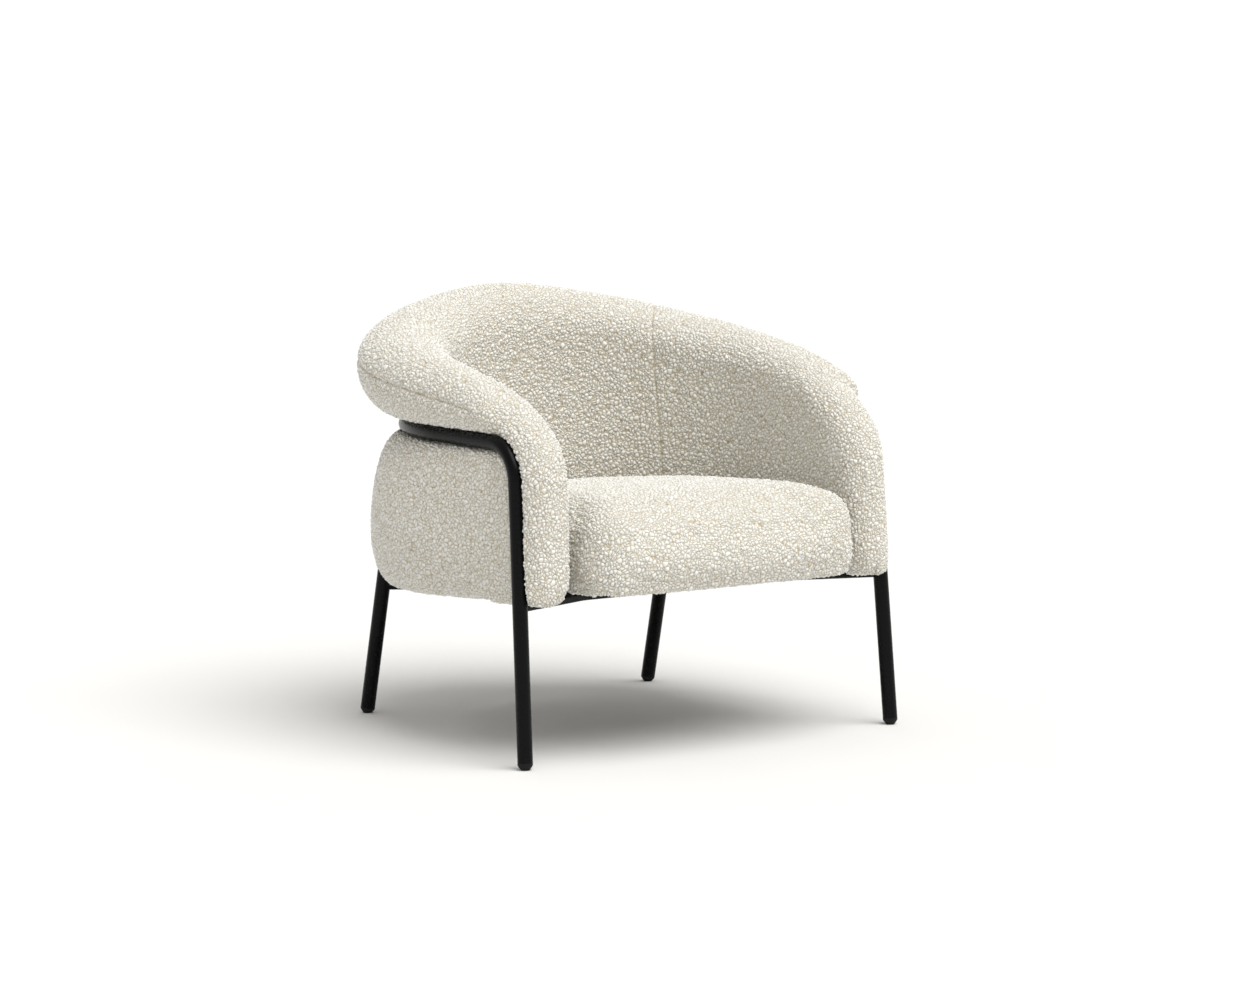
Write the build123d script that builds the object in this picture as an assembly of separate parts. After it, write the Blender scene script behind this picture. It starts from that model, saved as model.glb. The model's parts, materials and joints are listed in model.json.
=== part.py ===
from build123d import *
import math
import os

# Upholstered tub armchair on a black steel tube frame.
# Frame: millimetres, +Z up, -Y towards the chair's front, +X towards the sitter's left hand.
# Origin: centre of the chair's box, on the floor.

# ---------------------------------------------------------------- driving dimensions
FEET_Y = -319.7            # line of the two front feet
TUBE_R = 12.5              # hoop and leg tube
TUBE_WALL = 1.5
RAIL_R = 11.0              # front and rear rail tube

HOOP_X = 361.4             # half width of the hoop, and radius of its round back
HOOP_Z = 516.5             # height of the hoop's arms
HOOP_C = FEET_Y + 272.0    # centre of the round back
LEG_LEAN_X = 0.0232        # how far a front leg leans in, per unit of height
LEG_LEAN_Y = 0.0897        # how far it leans back
BEND_R = 65.0              # bend from leg to arm

REAR_FOOT = (297.6, FEET_Y + 611.5)
REAR_LEAN = (0.0045, 0.2366)    # in and forward, per unit of height
GLIDE_H = 11.0             # foot glides: height, tip and shoulder
GLIDE_TIP_R = 6.0
GLIDE_SHOULDER = 9.0
GLIDE_ROUND = 5.0

FRONT_RAIL_Z = 262.0
FRONT_RAIL_BEND = (205.0, FEET_Y + 80.0)
REAR_RAIL_Z = 232.0
REAR_RAIL_BEND = (215.0, FEET_Y + 508.0)
RAIL_BEND_R = 60.0

INNER_A = -83.0            # inner face of the tub, measured out from the hoop's line
TUB_BOTTOM_Z = 260.0       # underside of the tub at the front feet line
TUB_SLOPE = 0.04           # fall of the tub's underside towards the back
SEAT_SLOPE = 0.06          # fall of the seat towards the back
GROOVE = 14.0              # half size of the groove that the hoop lies in
COVER = 2.5                # thickness of the fabric covers
NOSE_OUT = 4.0             # outer face of the arm front, from the hoop's line
NOSE_IN = -85.0
NOSE_HEEL = 118.0          # where the arm front ends inside the tub, behind the front feet
NOSE_TOP_Z = 591.5         # top of the roll there
NOSE_LOW = -26.5           # front of the arm at its underside, from the front feet
NOSE_FRONT = (-12.5, 452.0)     # where the arm front starts to turn back: place and height
NOSE_CROWN = (26.0, 536.0)      # a point on the turn over the arm
BACK_SEAM = 46.0           # angle of the seams between back and arms, from the side

SEAT_HALF = 274.0
SEAT_BACK = 265.0          # depth of the seat's round back, behind the centre of the tub's back
SEAT_FRONT = FEET_Y - 66.0
SEAT_BOW = 13.0
SEAT_CORNER = 58.0
SEAT_BOTTOM = -13.0        # heights on the seat's sloping plane, from the frame's underside
SEAT_TOP = 136.0
FRAME_Z = 276.0            # underside of the wooden seat frame above the front rail
FRAME_H = 32.0
WOOD = 22.0
FRAME_OUTLINE = [(-240, -30), (240, -30), (240, 320), (160, 478), (-160, 478), (-240, 320)]

RIM_A = (-40.0, -22.0)     # plywood rims of the tub, inside the hoop
BOLT_R = 3.0
SEAT_TOP_ROUND = 52.0
SEAT_LOW_ROUND = 34.0
PLATE, PLATE_HALF = 4.0, 16.0   # steel mounting plates: thickness and half width
FRONT_PLATE = (72.0, 112.0)     # where the plates start and end, behind the front feet
REAR_PLATE = (455.0, 514.0)
REAR_LIP = (503.0, 513.0)       # downturned lip that stands on the rear rail
REAR_LIP_DROP = 16.0
NOTCH = 2.0                # room for the plates in the seat's cover, each way
NOTCH_ENDS = 6.0
HEAD_W, HEAD_H = 10.0, 4.0      # bolt heads
WASHER_R, WASHER_H = 6.0, 1.2
NUT_R, NUT_DEPTH = 3.9, 9.0     # tee nuts
NUT_FLANGE_R, NUT_FLANGE_H = 9.5, 1.2
CROSS_H = 20.0             # height of the wooden cross rail over the front steel rail
FRONT_BOLT_X, FRONT_BOLT_Y = 150.0, 102.0
REAR_BOLT_X, REAR_BOLT_Y = 98.0, 467.0
SPRING_X = [-130.0, -65.0, 0.0, 65.0, 130.0]
SPRING_WIRE = 1.8
SPRING_WIDTH = 42.0
SPRING_TURN = 10.0
SPRING_START = -18.0
SPRING_LOOPS = 24
CLIP_W, CLIP_HALF, CLIP_H = 9.0, 5.0, 1.4    # clips that hold the ends of the springs
PAD_H = 3.0                # insulating pad on the springs
PAD_W = FRAME_H + 2 * SPRING_WIRE + 1.6
DUST = 1.0
RIM_LOW, RIM_H = 272.0, 32.0    # underside and height of the tub's lower rim
RIM_START = 66.0           # front end of the rims, behind the front feet
UPPER_RIM = (HOOP_Z - 20.0, HOOP_Z + 12.0)
FRONT_POST = (66.0, 112.0)
TOP_RAIL_Z, TOP_RAIL_H = 640.0, 24.0
TOP_RAIL_TURN = 40.0       # where the top rail starts, from the side
POST_HALF_TURN, WEB_HALF_TURN = 3.5, 4.5
WEB = 0.8                  # thickness of the webbing
BOSS_R, SCREW_HEAD_R, SCREW_HEAD_H = 7.0, 6.5, 3.5
FOAM_GAP = 0.4             # free space between the wood and the foam of the roll
REAR_LEG_TOP = 507.0
REAR_TURN = 36.6           # where a rear leg meets the hoop, from the side
REAR_MITRE = (8.0, 505.0)  # where the leg's top starts to slope down: out from the hoop's line, and height
POST_TURNS = [4.0, 30.0, 60.0, 90.0, 120.0, 150.0, 176.0]
UPRIGHT_TURNS = [48.0, 76.0, 104.0, 132.0]
WEB_TURNS = [45.0, 60.0, 75.0, 90.0, 105.0, 120.0, 135.0]
FIXING_TURNS = [15.0, 53.0, 90.0, 127.0, 165.0]
FIXING_ARM = 165.0
SIDES = [(1, "left"), (-1, "right")]

# Roll sections along the hoop: (place, value, inner, outer, top, height of the widest line).
# An "arm" place is a distance behind the front feet, an "arc" place an angle round the back.
ROLL = [
    ("arm", 106, -82, 18, 70, 36),
    ("arm", 150, -81, 22, 89, 49),
    ("arm", 205, -80, 29, 104, 57),
    ("arm", 272, -80, 42, 120, 67),
    ("arc", 18, -78, 62, 141, 81),
    ("arc", 36, -75, 84, 163, 102),
    ("arc", 54, -70, 88, 187, 121),
    ("arc", 72, -66, 86, 207, 128),
    ("arc", 90, -65, 84, 218, 130),
]
PANEL_OUT = {106: 14, 150: 24, 205: 34, 272: 45, 18: 56, 36: 61, 54: 61, 72: 61, 90: 61}
PANEL_WIDEST = -180.0      # height of the lower panel's fullest line, from the hoop
PANEL_HEM = 42.0           # how far the panel turns under
KAPPA = 0.5523             # cubic Bezier weight of a quarter ellipse


# ---------------------------------------------------------------- helpers
def cylinder_between(start, end, radius):
    """A round bar from one point to another."""
    start, end = Vector(*start), Vector(*end)
    axis = end - start
    plane = Plane(origin=start, z_dir=axis)
    return extrude(plane * Circle(radius), amount=axis.length)


def quarter(p, corner, q):
    """A quarter ellipse from p to q, tangent at both ends to the lines that meet in corner."""
    p, corner, q = Vector(*p), Vector(*corner), Vector(*q)
    return Bezier(p, p + (corner - p) * KAPPA, q + (corner - q) * KAPPA, q)


def front_leg(z, side=1):
    """Centre of a front leg at a height."""
    return Vector(side * (HOOP_X + LEG_LEAN_X * (HOOP_Z - z)), FEET_Y + LEG_LEAN_Y * z, z)


def rear_leg(z, side=1):
    """Centre of a rear leg at a height."""
    return Vector(side * (REAR_FOOT[0] - REAR_LEAN[0] * z), REAR_FOOT[1] - REAR_LEAN[1] * z, z)


def station(place, value, side=1):
    """Upright section plane across the hoop: local x points out of the chair, local y up."""
    if place == "arm":
        return Plane(origin=(side * HOOP_X, FEET_Y + value, HOOP_Z), x_dir=(side, 0, 0), z_dir=(0, -side, 0))
    turn = math.radians(value if side > 0 else 180 - value)
    out = Vector(math.cos(turn), math.sin(turn), 0)
    origin = Vector(0, HOOP_C, HOOP_Z) + out * HOOP_X
    return Plane(origin=origin, x_dir=out, z_dir=(math.sin(turn), -math.cos(turn), 0))


def all_stations():
    """Every roll section from the left arm, round the back, to the right arm."""
    left = [(station(row[0], row[1], 1), row) for row in ROLL]
    right = [(station(row[0], row[1], -1), row) for row in ROLL[:-1]]
    return left + right[::-1]


def tub_bottom(plane):
    """Height of the tub's underside at a section, from the hoop."""
    return TUB_BOTTOM_Z - TUB_SLOPE * (plane.origin.Y - FEET_Y) - HOOP_Z


def u_plan(a, y_front):
    """Face of everything inside the line that runs at distance a outside the hoop's line."""
    r = HOOP_X + a
    outline = [
        Line((-r, FEET_Y + y_front), (-r, HOOP_C)),
        ThreePointArc((-r, HOOP_C), (0, HOOP_C + r), (r, HOOP_C)),
        Line((r, HOOP_C), (r, FEET_Y + y_front)),
        Line((r, FEET_Y + y_front), (-r, FEET_Y + y_front)),
    ]
    return make_face(outline)


def u_band(a0, a1, z0, z1, y_front):
    """A band that follows the hoop's plan between two distances and two heights."""
    ring = u_plan(a1, y_front) - u_plan(a0, y_front - 1)
    return extrude(Pos(0, 0, z0) * ring, amount=z1 - z0)


def wedge(angle0, angle1, z0, z1):
    """A sector round the centre of the back, from one angle to another."""
    reach = 900.0
    points = [(0, 0)]
    for i in range(5):
        turn = math.radians(angle0 + (angle1 - angle0) * i / 4)
        points.append((reach * math.cos(turn), reach * math.sin(turn)))
    face = make_face(Polyline(*points, close=True))
    return extrude(Pos(0, HOOP_C, z0) * face, amount=z1 - z0)


def joined(shapes):
    """Separate solids kept side by side in one node."""
    return Compound(children=[s for shape in shapes for s in shape.solids()])


SEAT_PLANE = Plane(origin=(0, FEET_Y + 80.0, FRAME_Z), x_dir=(1, 0, 0), z_dir=(0, SEAT_SLOPE, 1))


def on_seat(x, y, w=0.0):
    """A point of the seat's sloping plane: x across, y behind the front feet, w above the plane."""
    return SEAT_PLANE.location * Pos(x, y - 80.0, w)


# ---------------------------------------------------------------- steel frame
def hoop_path():
    """Front leg, arm, round back, arm and front leg, as one tangent line."""
    parts = []
    for side in (1, -1):
        lean = Vector(-side * LEG_LEAN_X, LEG_LEAN_Y, 1).normalized()
        corner = front_leg(HOOP_Z, side)
        reach = BEND_R * math.tan(math.radians(lean.get_angle(Vector(0, 1, 0)) / 2))
        start = corner - lean * reach
        end = corner + Vector(0, reach, 0)
        parts.append(Line(front_leg(GLIDE_H, side), start))
        parts.append(TangentArc(start, end, tangent=lean))
        parts.append(Line(end, (side * HOOP_X, HOOP_C, HOOP_Z)))
    back = ThreePointArc((HOOP_X, HOOP_C, HOOP_Z), (0, HOOP_C + HOOP_X, HOOP_Z), (-HOOP_X, HOOP_C, HOOP_Z))
    return Wire(parts[:3] + [back] + parts[3:])


def swept(path, radius):
    """A round bar along a path."""
    plane = Plane(origin=path @ 0, z_dir=path % 0)
    return sweep(plane * Circle(radius), path=path)


def rail_path(leg, bend, z):
    """Rail from one leg to the other, with a straight middle between two bends."""
    end = leg(z)
    points = [(end.X, end.Y, z), (bend[0], bend[1], z), (-bend[0], bend[1], z), (-end.X, end.Y, z)]
    return FilletPolyline(*points, radius=RAIL_BEND_R)


def glide(leg, side):
    """Plastic foot glide: a plug inside the tube and a tapered end that stands flat on the floor."""
    below = 1.5
    low, top = leg(-below, side), leg(GLIDE_H, side)
    axis = (top - low).normalized()
    height = (top - low).length
    outline = [(0, 0), (GLIDE_TIP_R, 0), (TUBE_R, GLIDE_SHOULDER), (TUBE_R, height), (0, height)]
    face = make_face(Polyline(*outline, close=True))
    face = fillet(face.vertices().group_by(Axis.X)[-1].sort_by(Axis.Y)[0], radius=GLIDE_ROUND)
    foot = revolve(Plane.XZ * face, axis=Axis.Z)
    plug = Pos(0, 0, height) * extrude(Circle(TUBE_R - TUBE_WALL - 0.1), amount=20)
    floor = Pos(low.X, low.Y, -10) * Box(60, 60, 20)
    return Plane(origin=low, z_dir=axis).location * (foot + plug) - floor


def leg_mitre(side, margin):
    """Everything over the slope that a rear leg's top is cut to, so that it stays under the covers."""
    out, height = REAR_MITRE
    place = arc_place(REAR_TURN if side > 0 else 180 - REAR_TURN, out + margin, height + margin)
    return place.location * Rot(-45, 0, 0) * Pos(0, 0, 50) * Box(100, 200, 100)


# ---------------------------------------------------------------- upholstered tub
def tub_section(plane, row, inset):
    """Section of the tub: inner face, roll, groove for the hoop, lower panel and underside."""
    _, value, inner, outer, top, wide = row
    inner, outer, top = inner + inset, outer - inset, top - inset
    face_a = INNER_A + inset
    bottom = tub_bottom(plane) + inset
    middle = (inner + outer) / 2
    panel = PANEL_OUT[value] - inset
    lip = 9.0 - inset / 2
    groove = GROOVE + inset
    lip_top = 8.0
    edges = [
        Spline((face_a, bottom), (face_a, -130), (inner, wide), tangents=((0, 1), (0, 1))),
        quarter((inner, wide), (inner, top), (middle, top)),
        quarter((middle, top), (outer, top), (outer, wide)),
        quarter((outer, wide), (outer, groove), (lip_top, groove)),
        Line((lip_top, groove), (-groove, groove)),
        Line((-groove, groove), (-groove, -groove)),
        Line((-groove, -groove), (lip, -groove)),
        quarter((lip, -groove), (panel, -groove), (panel, PANEL_WIDEST)),
        quarter((panel, PANEL_WIDEST), (panel, bottom), (panel - PANEL_HEM, bottom)),
        Line((panel - PANEL_HEM, bottom), (face_a, bottom)),
    ]
    return plane.location * make_face(Wire(edges))


def arm_front(side, inset):
    """Full-round front end of an arm, with the roll turning over its top."""
    low = TUB_BOTTOM_Z + inset
    heel = FEET_Y + NOSE_HEEL
    heel_low = (heel, low - TUB_SLOPE * NOSE_HEEL)
    front_low = (FEET_Y + NOSE_LOW + inset, low)
    front_high = (FEET_Y + NOSE_FRONT[0] + inset, NOSE_FRONT[1])
    crown = (FEET_Y + NOSE_CROWN[0] + inset * 0.7, NOSE_CROWN[1] - inset * 0.7)
    top = (heel, NOSE_TOP_Z - inset)
    profile = [
        Line(heel_low, front_low),
        Line(front_low, front_high),
        Spline(front_high, crown, top, tangents=((14, 188), (1, 0.45))),
        Line(top, heel_low),
    ]
    half = (NOSE_OUT - NOSE_IN) / 2 - inset
    face = Plane(origin=(0, 0, 0), x_dir=(0, 1, 0), z_dir=(1, 0, 0)).location * make_face(Wire(profile))
    block = extrude(face, amount=half, both=True)
    sides = [e for e in block.edges() if abs(abs(e.center().X) - half) < 0.1]
    nose = [e for e in sides if e.center().Y < heel - 0.5 and e.center().Z > low + 1]
    block = fillet(nose, radius=half - 1.5)
    lean = math.degrees(math.atan(LEG_LEAN_X))
    shift = side * (HOOP_X + (NOSE_OUT + NOSE_IN) / 2)
    return Pos(shift, 0, HOOP_Z) * Rot(0, -side * lean, 0) * Pos(0, 0, -HOOP_Z) * block


def tub_body(inset):
    """The whole tub, arms and round back, at a distance inside its outer surface."""
    shell = loft([tub_section(plane, row, inset) for plane, row in all_stations()])
    for side in (1, -1):
        shell = shell + arm_front(side, inset)
    return shell


def hoop_clearance(margin):
    """Everything within a margin of the steel frame's tubes."""
    room = swept(hoop_path(), TUBE_R + margin)
    for side in (1, -1):
        leg = cylinder_between(rear_leg(0, side), rear_leg(HOOP_Z, side), TUBE_R + margin)
        room = room + (leg - leg_mitre(side, margin))
    return (room
            + swept(rail_path(front_leg, FRONT_RAIL_BEND, FRONT_RAIL_Z), RAIL_R + margin)
            + swept(rail_path(rear_leg, REAR_RAIL_BEND, REAR_RAIL_Z), RAIL_R + margin))


def half_space_behind_legs():
    """Everything behind the sloping line of the front legs."""
    lean = math.degrees(math.atan(LEG_LEAN_Y))
    return Pos(0, FEET_Y, 0) * Rot(-lean, 0, 0) * Pos(0, 500, 400) * Box(1200, 1000, 1200)


def lower_outside():
    """Space of the lower outer panel: outside the hoop's line, under it, and behind the front legs."""
    block = Pos(0, HOOP_C, HOOP_Z / 2) * Box(1200, 1400, HOOP_Z)
    inside = extrude(Pos(0, 0, -10) * u_plan(-GROOVE - COVER - 1, -500), amount=HOOP_Z + 20)
    return (block - inside) & half_space_behind_legs()


def facing_space():
    """Space of the roll's outer facing: from the groove's lining up to the seam along the widest line."""
    faces = []
    for plane, row in all_stations():
        outer, wide = row[3], row[5]
        inner, low = -GROOVE - COVER - 1, -GROOVE - COVER - 3
        corners = [(inner, low), (outer + 60, low), (outer + 60, wide), (inner, wide)]
        faces.append(plane.location * make_face(Polyline(*corners, close=True)))
    return loft(faces)


def arc_place(turn, a, z):
    """Plane on the round back, its z axis pointing out of the chair."""
    out = Vector(math.cos(math.radians(turn)), math.sin(math.radians(turn)), 0)
    origin = Vector(0, HOOP_C, z) + out * (HOOP_X + a)
    return Plane(origin=origin, x_dir=(-out.Y, out.X, 0), z_dir=out)


def fixing_planes():
    """Places where the tub's upper rim is bolted to the hoop."""
    planes = [arc_place(turn, 0, HOOP_Z) for turn in FIXING_TURNS]
    for side in (1, -1):
        origin = (side * HOOP_X, FEET_Y + FIXING_ARM, HOOP_Z)
        planes.append(Plane(origin=origin, x_dir=(0, side, 0), z_dir=(side, 0, 0)))
    return planes


def bar(plane, radius, a0, a1):
    """Round bar along a plane's z axis between two distances."""
    return extrude(plane.offset(a0) * Circle(radius), amount=a1 - a0)


# ---------------------------------------------------------------- seat
def seat_block(inset):
    """Outer form of the seat cushion, with a bowed front, a round back and rolled edges."""
    front, bow = SEAT_FRONT - FEET_Y, SEAT_BOW
    h = SEAT_HALF
    middle = HOOP_C - FEET_Y + SEAT_BACK - h
    plan = make_face(Wire([
        Line((-h, middle), (-h, front)),
        ThreePointArc((-h, front), (0, front - bow), (h, front)),
        Line((h, front), (h, middle)),
        ThreePointArc((h, middle), (0, middle + h), (-h, middle)),
    ]))
    plan = fillet(plan.vertices().sort_by(Axis.Y)[:2], radius=SEAT_CORNER)
    if inset:
        plan = offset(plan, amount=-inset)
    block = extrude(Pos(0, -80.0, SEAT_BOTTOM + inset) * plan, amount=SEAT_TOP - SEAT_BOTTOM - 2 * inset)
    block = fillet(block.edges().group_by(Axis.Z)[-1], radius=SEAT_TOP_ROUND - inset)
    block = fillet(block.edges().group_by(Axis.Z)[0], radius=SEAT_LOW_ROUND - inset)
    return SEAT_PLANE.location * block


def frame_prism(grow, w0, w1):
    """Upright prism on the outline of the wooden seat frame."""
    face = make_face(Polyline(*[(x, y - 80.0) for x, y in FRAME_OUTLINE], close=True))
    if grow:
        face = offset(face, amount=grow, kind=Kind.INTERSECTION)
    return SEAT_PLANE.location * extrude(Pos(0, 0, w0) * face, amount=w1 - w0)


def seat_box(x0, x1, y0, y1, w0, w1):
    """Block given by its limits on the seat's sloping plane."""
    centre = Pos((x0 + x1) / 2, (y0 + y1) / 2 - 80.0, (w0 + w1) / 2)
    return SEAT_PLANE.location * centre * Box(x1 - x0, y1 - y0, w1 - w0)


def seat_bar(x, y, w0, w1, radius):
    """Round bar square to the seat's sloping plane."""
    return on_seat(x, y, (w0 + w1) / 2) * Cylinder(radius, w1 - w0)


def hex_bar(x, y, w0, w1, across):
    """Six-sided bar square to the seat's sloping plane."""
    hexagon = RegularPolygon(radius=across / math.sqrt(3), side_count=6)
    return on_seat(x, y, w0) * extrude(hexagon, amount=w1 - w0)


def sinuous_spring(x):
    """Zigzag wire spring that runs from the front rail of the seat frame to the back rail."""
    edges = []
    reach = SPRING_WIDTH / 2 - SPRING_TURN
    y = SPRING_START
    side = 1
    edges.append(Line((x, y), (x + reach, y)))
    for i in range(SPRING_LOOPS):
        end = x + side * reach
        middle, far_y = (end + side * SPRING_TURN, y + SPRING_TURN), y + 2 * SPRING_TURN
        turn = ThreePointArc((end, y), middle, (end, far_y))
        y = far_y
        last = i == SPRING_LOOPS - 1
        edges += [turn, Line((end, y), (x if last else x - side * reach, y))]
        side = -side
    path = on_seat(0, 0, FRAME_H + SPRING_WIRE + 0.1) * Wire(edges)
    return sweep(Plane(origin=path @ 0, z_dir=path % 0) * Circle(SPRING_WIRE), path=path)


# ---------------------------------------------------------------- assembly
def steel_nodes():
    """Hoop, rear legs, rails and glides, with the solid bars that other pieces are cut by."""
    hoop_solid = swept(hoop_path(), TUBE_R)
    hoop_bore = swept(hoop_path(), TUBE_R - TUBE_WALL)
    nodes = {"arm_hoop": hoop_solid - hoop_bore}
    legs = {}
    for side, name in SIDES:
        low, high = rear_leg(GLIDE_H, side), rear_leg(REAR_LEG_TOP, side)
        legs[side] = cylinder_between(low, high, TUBE_R)
        leg = legs[side] - cylinder_between(low, high, TUBE_R - TUBE_WALL) - hoop_solid
        nodes["rear_leg_" + name] = leg - leg_mitre(side, 0)
        nodes["front_glide_" + name] = glide(front_leg, side)
        nodes["rear_glide_" + name] = glide(rear_leg, side)
    front = rail_path(front_leg, FRONT_RAIL_BEND, FRONT_RAIL_Z)
    rear = rail_path(rear_leg, REAR_RAIL_BEND, REAR_RAIL_Z)
    front_solid, rear_solid = swept(front, RAIL_R), swept(rear, RAIL_R)
    nodes["front_rail"] = front_solid - swept(front, RAIL_R - TUBE_WALL) - hoop_solid
    nodes["rear_rail"] = rear_solid - swept(rear, RAIL_R - TUBE_WALL) - legs[1] - legs[-1]
    return nodes, hoop_solid, front_solid + rear_solid


def seat_fixings(rails):
    """Mounting plates on the rails, with the bolts, washers and tee nuts that hold the seat frame."""
    blanks, bolts = [], []
    for x in (-FRONT_BOLT_X, FRONT_BOLT_X):
        blanks.append(seat_box(x - PLATE_HALF, x + PLATE_HALF, *FRONT_PLATE, -PLATE, 0))
        bolts.append((x, FRONT_BOLT_Y, CROSS_H))
    for x in (-REAR_BOLT_X, REAR_BOLT_X):
        flat = seat_box(x - PLATE_HALF, x + PLATE_HALF, *REAR_PLATE, -PLATE, 0)
        lip = seat_box(x - PLATE_HALF, x + PLATE_HALF, *REAR_LIP, -REAR_LIP_DROP, -PLATE)
        blanks.append(flat + lip)
        bolts.append((x, REAR_BOLT_Y, FRAME_H))
    plates, screws, washers, nuts = [], [], [], []
    for blank, (x, y, height) in zip(blanks, bolts):
        plates.append(blank - rails - seat_bar(x, y, -10, 10, BOLT_R + 0.3))
        under = -PLATE - WASHER_H - 0.1
        head = hex_bar(x, y, under - HEAD_H, under, HEAD_W)
        screws.append(head + seat_bar(x, y, under, height - 3, BOLT_R))
        washer = seat_bar(x, y, -PLATE - WASHER_H, -PLATE, WASHER_R)
        washers.append(washer - seat_bar(x, y, -10, 10, BOLT_R + 0.2))
        barrel = seat_bar(x, y, height - NUT_DEPTH, height, NUT_R)
        flange = seat_bar(x, y, height, height + NUT_FLANGE_H, NUT_FLANGE_R)
        nuts.append(barrel + flange - seat_bar(x, y, -20, height + 5, BOLT_R))
    return joined(plates), joined(screws), joined(washers), joined(nuts), bolts


def spring_clips(wires):
    """Clips over the two ends of every spring."""
    rear_y = SPRING_START + 2 * SPRING_TURN * SPRING_LOOPS
    top = FRAME_H + 2 * SPRING_WIRE + CLIP_H
    clips = []
    for x in SPRING_X:
        clips.append(seat_box(x + 0.5, x + 0.5 + CLIP_W, SPRING_START - CLIP_HALF, SPRING_START + CLIP_HALF,
                              FRAME_H, top) - wires)
        clips.append(seat_box(x - 0.5 - CLIP_W, x - 0.5, rear_y - CLIP_HALF, rear_y + CLIP_HALF,
                              FRAME_H, top) - wires)
    return joined(clips)


def seat_nodes(rails, tubes):
    """Everything of the seat, from its fixings to its cover."""
    plates, screws, washers, nuts, bolts = seat_fixings(rails)
    ring = frame_prism(0, 0, FRAME_H) - frame_prism(-WOOD, -1, FRAME_H + 1)
    holes = joined([seat_bar(x, y, -1, h - NUT_DEPTH + 0.2, BOLT_R + 0.3) for x, y, h in bolts]
                   + [seat_bar(x, y, h - NUT_DEPTH, h + 2, NUT_R) for x, y, h in bolts])
    front_y, rear_y = FRAME_OUTLINE[0][1] + WOOD, FRAME_OUTLINE[3][1] - WOOD
    nodes = {
        "seat_mount_plates": plates,
        "seat_bolts": screws,
        "seat_bolt_washers": washers,
        "seat_tee_nuts": nuts,
        "seat_frame_front": ring & seat_box(-300, 300, -60, front_y, -5, 60),
        "seat_frame_rear": (ring & seat_box(-300, 300, rear_y, 560, -5, 60)) - holes,
        "seat_cross_rail": seat_box(-217.6, 217.6, 58, 112, 0, CROSS_H) - holes,
    }
    middle = seat_box(-300, 300, front_y, rear_y, -5, 60)
    for side, name in SIDES:
        half = seat_box(min(0, side * 300), max(0, side * 300), -100, 600, -5, 60)
        nodes["seat_frame_" + name] = ring & middle & half
    blocks = []
    for sx in (-1, 1):
        corner = [(sx * 217.5, -7.5), (sx * 172, -7.5), (sx * 217.5, 38)]
        face = make_face(Polyline(*[(x, y - 80.0) for x, y in corner], close=True))
        blocks.append(SEAT_PLANE.location * extrude(face, amount=FRAME_H - 4))
    nodes["seat_corner_blocks"] = joined(blocks)
    wires = joined([sinuous_spring(x) for x in SPRING_X])
    nodes["seat_springs"] = wires
    nodes["spring_clips"] = spring_clips(wires)
    nodes["spring_pad"] = frame_prism(-4, PAD_W, PAD_W + PAD_H)
    recess = frame_prism(0.6, SEAT_BOTTOM - 10, PAD_W + PAD_H)
    block = seat_block(COVER)
    notches = plate_notches(bolts)
    nodes["seat_foam"] = block - recess - tubes - notches
    nodes["seat_cover"] = seat_block(0) - block - recess - tubes - notches
    nodes["dust_cover"] = frame_prism(-1.0, -DUST, -0.05) - notches
    return nodes


def plate_notches(bolts):
    """Cut-outs of the seat's soft pieces round the mounting plates."""
    cuts = []
    for x, y, _ in bolts:
        start, end = FRONT_PLATE if y == FRONT_BOLT_Y else REAR_PLATE
        cuts.append(seat_box(x - PLATE_HALF - NOTCH, x + PLATE_HALF + NOTCH,
                             start - NOTCH_ENDS, end + NOTCH_ENDS, -40, 0.5))
    return joined(cuts)


def rim_band(z0, z1):
    """A band of the tub's plywood rims between two heights."""
    return u_band(*RIM_A, z0, z1, RIM_START)


def slices(band, turns, half_turn):
    """The stretches of a band at some places round the back."""
    return [band & wedge(turn - half_turn, turn + half_turn, 200, 800) for turn in turns]


def tub_frame_nodes():
    """Plywood rims, posts and top rail inside the tub, and how they are fixed to the hoop."""
    inner, outer = RIM_A
    bosses, screws, holes = [], [], []
    for plane in fixing_planes():
        bosses.append(bar(plane, BOSS_R, outer, -10.5) - bar(plane, BOLT_R, outer - 1, -5))
        head_end = inner + SCREW_HEAD_H
        screws.append(bar(plane, SCREW_HEAD_R, inner, head_end) + bar(plane, BOLT_R, head_end, -13.2))
        counterbore = bar(plane, SCREW_HEAD_R + 0.2, inner - 1, head_end + 0.1)
        holes.append(counterbore + bar(plane, BOLT_R + 0.3, inner, outer + 1))
    low, high = RIM_LOW + RIM_H, UPPER_RIM[0]
    posts = rim_band(low, high)
    front_middle = FEET_Y + sum(FRONT_POST) / 2
    front = Pos(0, front_middle, 400) * Box(1000, FRONT_POST[1] - FRONT_POST[0], 600)
    top_rail = rim_band(TOP_RAIL_Z, TOP_RAIL_Z + TOP_RAIL_H)
    webbing = u_band(inner - WEB - 0.1, inner - 0.1, RIM_LOW + 4, HOOP_Z, RIM_START)
    nodes = {
        "tub_rim_lower": rim_band(RIM_LOW, low),
        "tub_rim_upper": rim_band(*UPPER_RIM) - joined(holes),
        "hoop_screws": joined(screws),
        "tub_front_posts": joined([posts & front]),
        "tub_posts": joined(slices(posts, POST_TURNS, POST_HALF_TURN)),
        "back_uprights": joined(slices(rim_band(UPPER_RIM[1], TOP_RAIL_Z), UPRIGHT_TURNS, POST_HALF_TURN)),
        "back_top_rail": top_rail & wedge(TOP_RAIL_TURN, 180 - TOP_RAIL_TURN, 200, 800),
        "back_webbing": joined(slices(webbing, WEB_TURNS, WEB_HALF_TURN)),
    }
    return nodes, joined(bosses)


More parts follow.
